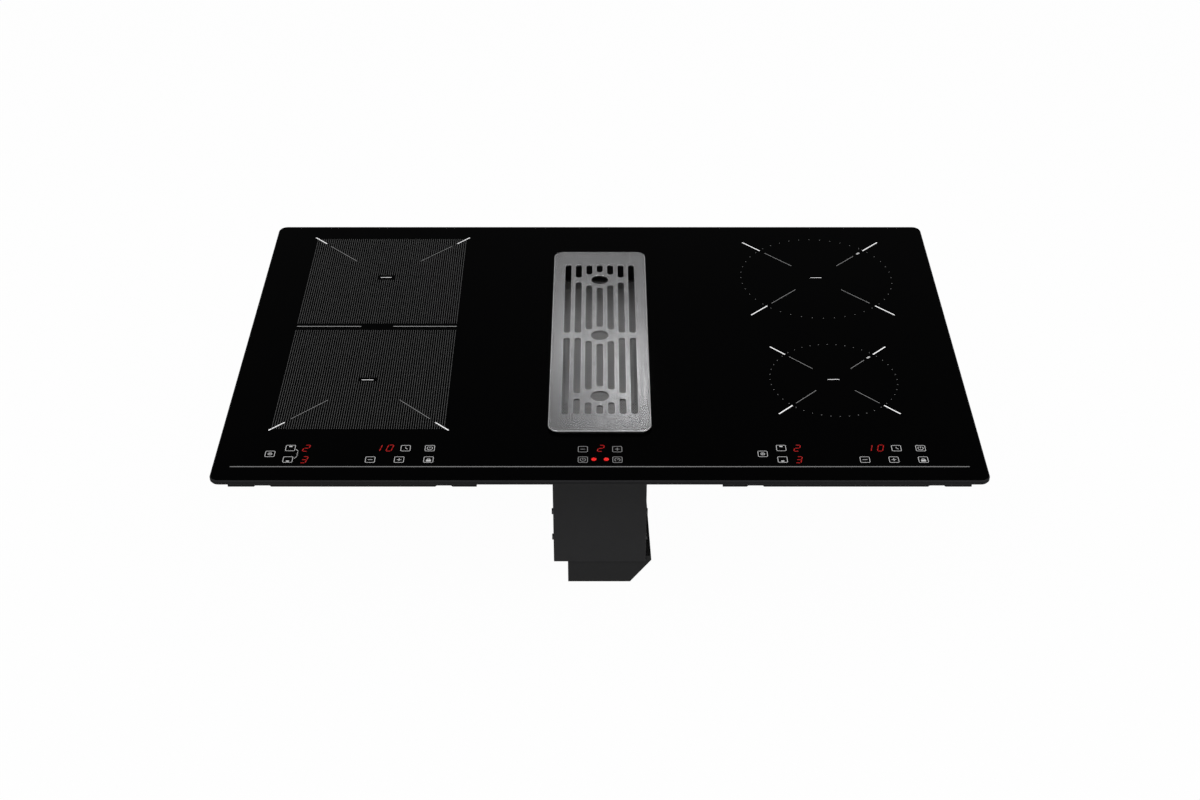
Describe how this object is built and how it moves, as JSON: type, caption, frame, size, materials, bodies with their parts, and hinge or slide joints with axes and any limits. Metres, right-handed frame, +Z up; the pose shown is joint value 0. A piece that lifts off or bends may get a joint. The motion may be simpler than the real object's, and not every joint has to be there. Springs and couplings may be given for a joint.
{
  "type": "downdraft induction cooktop",
  "caption": "Black glass induction cooktop with a central downdraft extraction well, steel grille, lift-out grease filter, blower duct below and a slide-out water tank.",
  "frame": {"origin": "middle of the glass in plan, on the worktop plane: the underside of the sealing tape that the cooktop rests on", "axes": "+X to the right as the cook stands, +Y to the back, +Z up out of the worktop"},
  "size_m": [0.8, 0.52, 0.2138],
  "materials": {
    "black_glass": "polished glass-ceramic",
    "foam": "closed-cell foam",
    "stainless": "brushed",
    "silicone": "matt",
    "filter_steel": "satin",
    "dark_sheet": "dark satin powder coat",
    "black_sheet": "black satin coat",
    "galvanised": "galvanised",
    "black_plastic": "matt",
    "grey_plastic": "matt",
    "wheel_plastic": "matt",
    "zinc_steel": "zinc plated",
    "motor_shell": "cast",
    "aluminium": "mill",
    "mica": "matt",
    "ferrite": "matt",
    "copper": "lacquered copper strand",
    "board_green": "lacquered",
    "display_dark": "clear",
    "sensor_white": "matt"
  },
  "bodies": {
    "chassis": {"glass_top": "black_glass", "seal_tape": "foam", "centre_frame": "black_sheet", "well_collar": "black_plastic", "duct_housing": "dark_sheet", "duct_screws": "zinc_steel", "front_cover": "dark_sheet", "cover_screws": "dark_sheet", "outlet_spigot": "black_plastic", "blower_scroll": "black_plastic", "blower_motor": "motor_shell", "motor_bracket": "galvanised", "bearing_bracket": "galvanised", "blower_bearing": "zinc_steel", "tank_rails": "galvanised", "zone_sensors": "sensor_white", "touch_boards": "board_green", "displays": "display_dark", "touch_holders": "black_plastic", "cable_gland": "black_plastic", "terminal_block": "grey_plastic", "clamp_pins": "zinc_steel", "tray_left": "black_sheet", "coil_deck_left": "aluminium", "insulating_mat_left": "mica", "power_board_left": "board_green", "heat_sink_left": "aluminium", "fan_frame_left": "black_plastic", "coil_carrier_left_front": "grey_plastic", "winding_left_front": "copper", "ferrites_left_front": "ferrite", "coil_carrier_left_rear": "grey_plastic", "winding_left_rear": "copper", "ferrites_left_rear": "ferrite", "tray_right": "black_sheet", "coil_deck_right": "aluminium", "insulating_mat_right": "mica", "power_board_right": "board_green", "heat_sink_right": "aluminium", "fan_frame_right": "black_plastic", "coil_carrier_right_front": "grey_plastic", "winding_right_front": "copper", "ferrites_right_front": "ferrite", "coil_carrier_right_rear": "grey_plastic", "winding_right_rear": "copper", "ferrites_right_rear": "ferrite"},
    "filter": {"filter_frame": "filter_steel", "filter_mesh": "filter_steel"},
    "grille_plate": {"grille": "stainless", "grille_pads": "silicone"},
    "tank": {"water_tank": "grey_plastic"},
    "blower_wheel": {"impeller": "wheel_plastic", "blower_shaft": "zinc_steel"},
    "cooling_fan_left": {"fan_rotor_left": "black_plastic"},
    "cooling_fan_right": {"fan_rotor_right": "black_plastic"},
    "clamp_arm_left_front": {"clamp_left_front": "zinc_steel"},
    "clamp_arm_left_rear": {"clamp_left_rear": "zinc_steel"},
    "clamp_arm_right_front": {"clamp_right_front": "zinc_steel"},
    "clamp_arm_right_rear": {"clamp_right_rear": "zinc_steel"}
  },
  "joints": [
    {"name": "filter_lift", "type": "slide", "parent": "chassis", "child": "filter", "axis": [0, 0, 1], "range_m": [0, 0.12]},
    {"name": "grille_lift", "type": "slide", "parent": "filter", "child": "grille_plate", "axis": [0, 0, 1], "range_m": [0, 0.08]},
    {"name": "tank_slide", "type": "slide", "parent": "chassis", "child": "tank", "axis": [0, -1, 0], "range_m": [0, 0.16]},
    {"name": "impeller_spin", "type": "hinge", "parent": "chassis", "child": "blower_wheel", "pos_m": [0, 0.11, -0.104], "axis": [1, 0, 0], "continuous": true},
    {"name": "cooling_fan_left_spin", "type": "hinge", "parent": "chassis", "child": "cooling_fan_left", "pos_m": [-0.2565, 0.188, -0.04], "axis": [0, 0, 1], "continuous": true},
    {"name": "cooling_fan_right_spin", "type": "hinge", "parent": "chassis", "child": "cooling_fan_right", "pos_m": [0.2565, 0.188, -0.04], "axis": [0, 0, 1], "continuous": true},
    {"name": "clamp_left_front_turn", "type": "hinge", "parent": "chassis", "child": "clamp_arm_left_front", "pos_m": [-0.3715, -0.15, -0.0513], "axis": [0, 0, 1], "range_deg": [0, 90]},
    {"name": "clamp_left_rear_turn", "type": "hinge", "parent": "chassis", "child": "clamp_arm_left_rear", "pos_m": [-0.3715, 0.15, -0.0513], "axis": [0, 0, -1], "range_deg": [0, 90]},
    {"name": "clamp_right_front_turn", "type": "hinge", "parent": "chassis", "child": "clamp_arm_right_front", "pos_m": [0.3715, -0.15, -0.0513], "axis": [0, 0, -1], "range_deg": [0, 90]},
    {"name": "clamp_right_rear_turn", "type": "hinge", "parent": "chassis", "child": "clamp_arm_right_rear", "pos_m": [0.3715, 0.15, -0.0513], "axis": [0, 0, 1], "range_deg": [0, 90]}
  ]
}
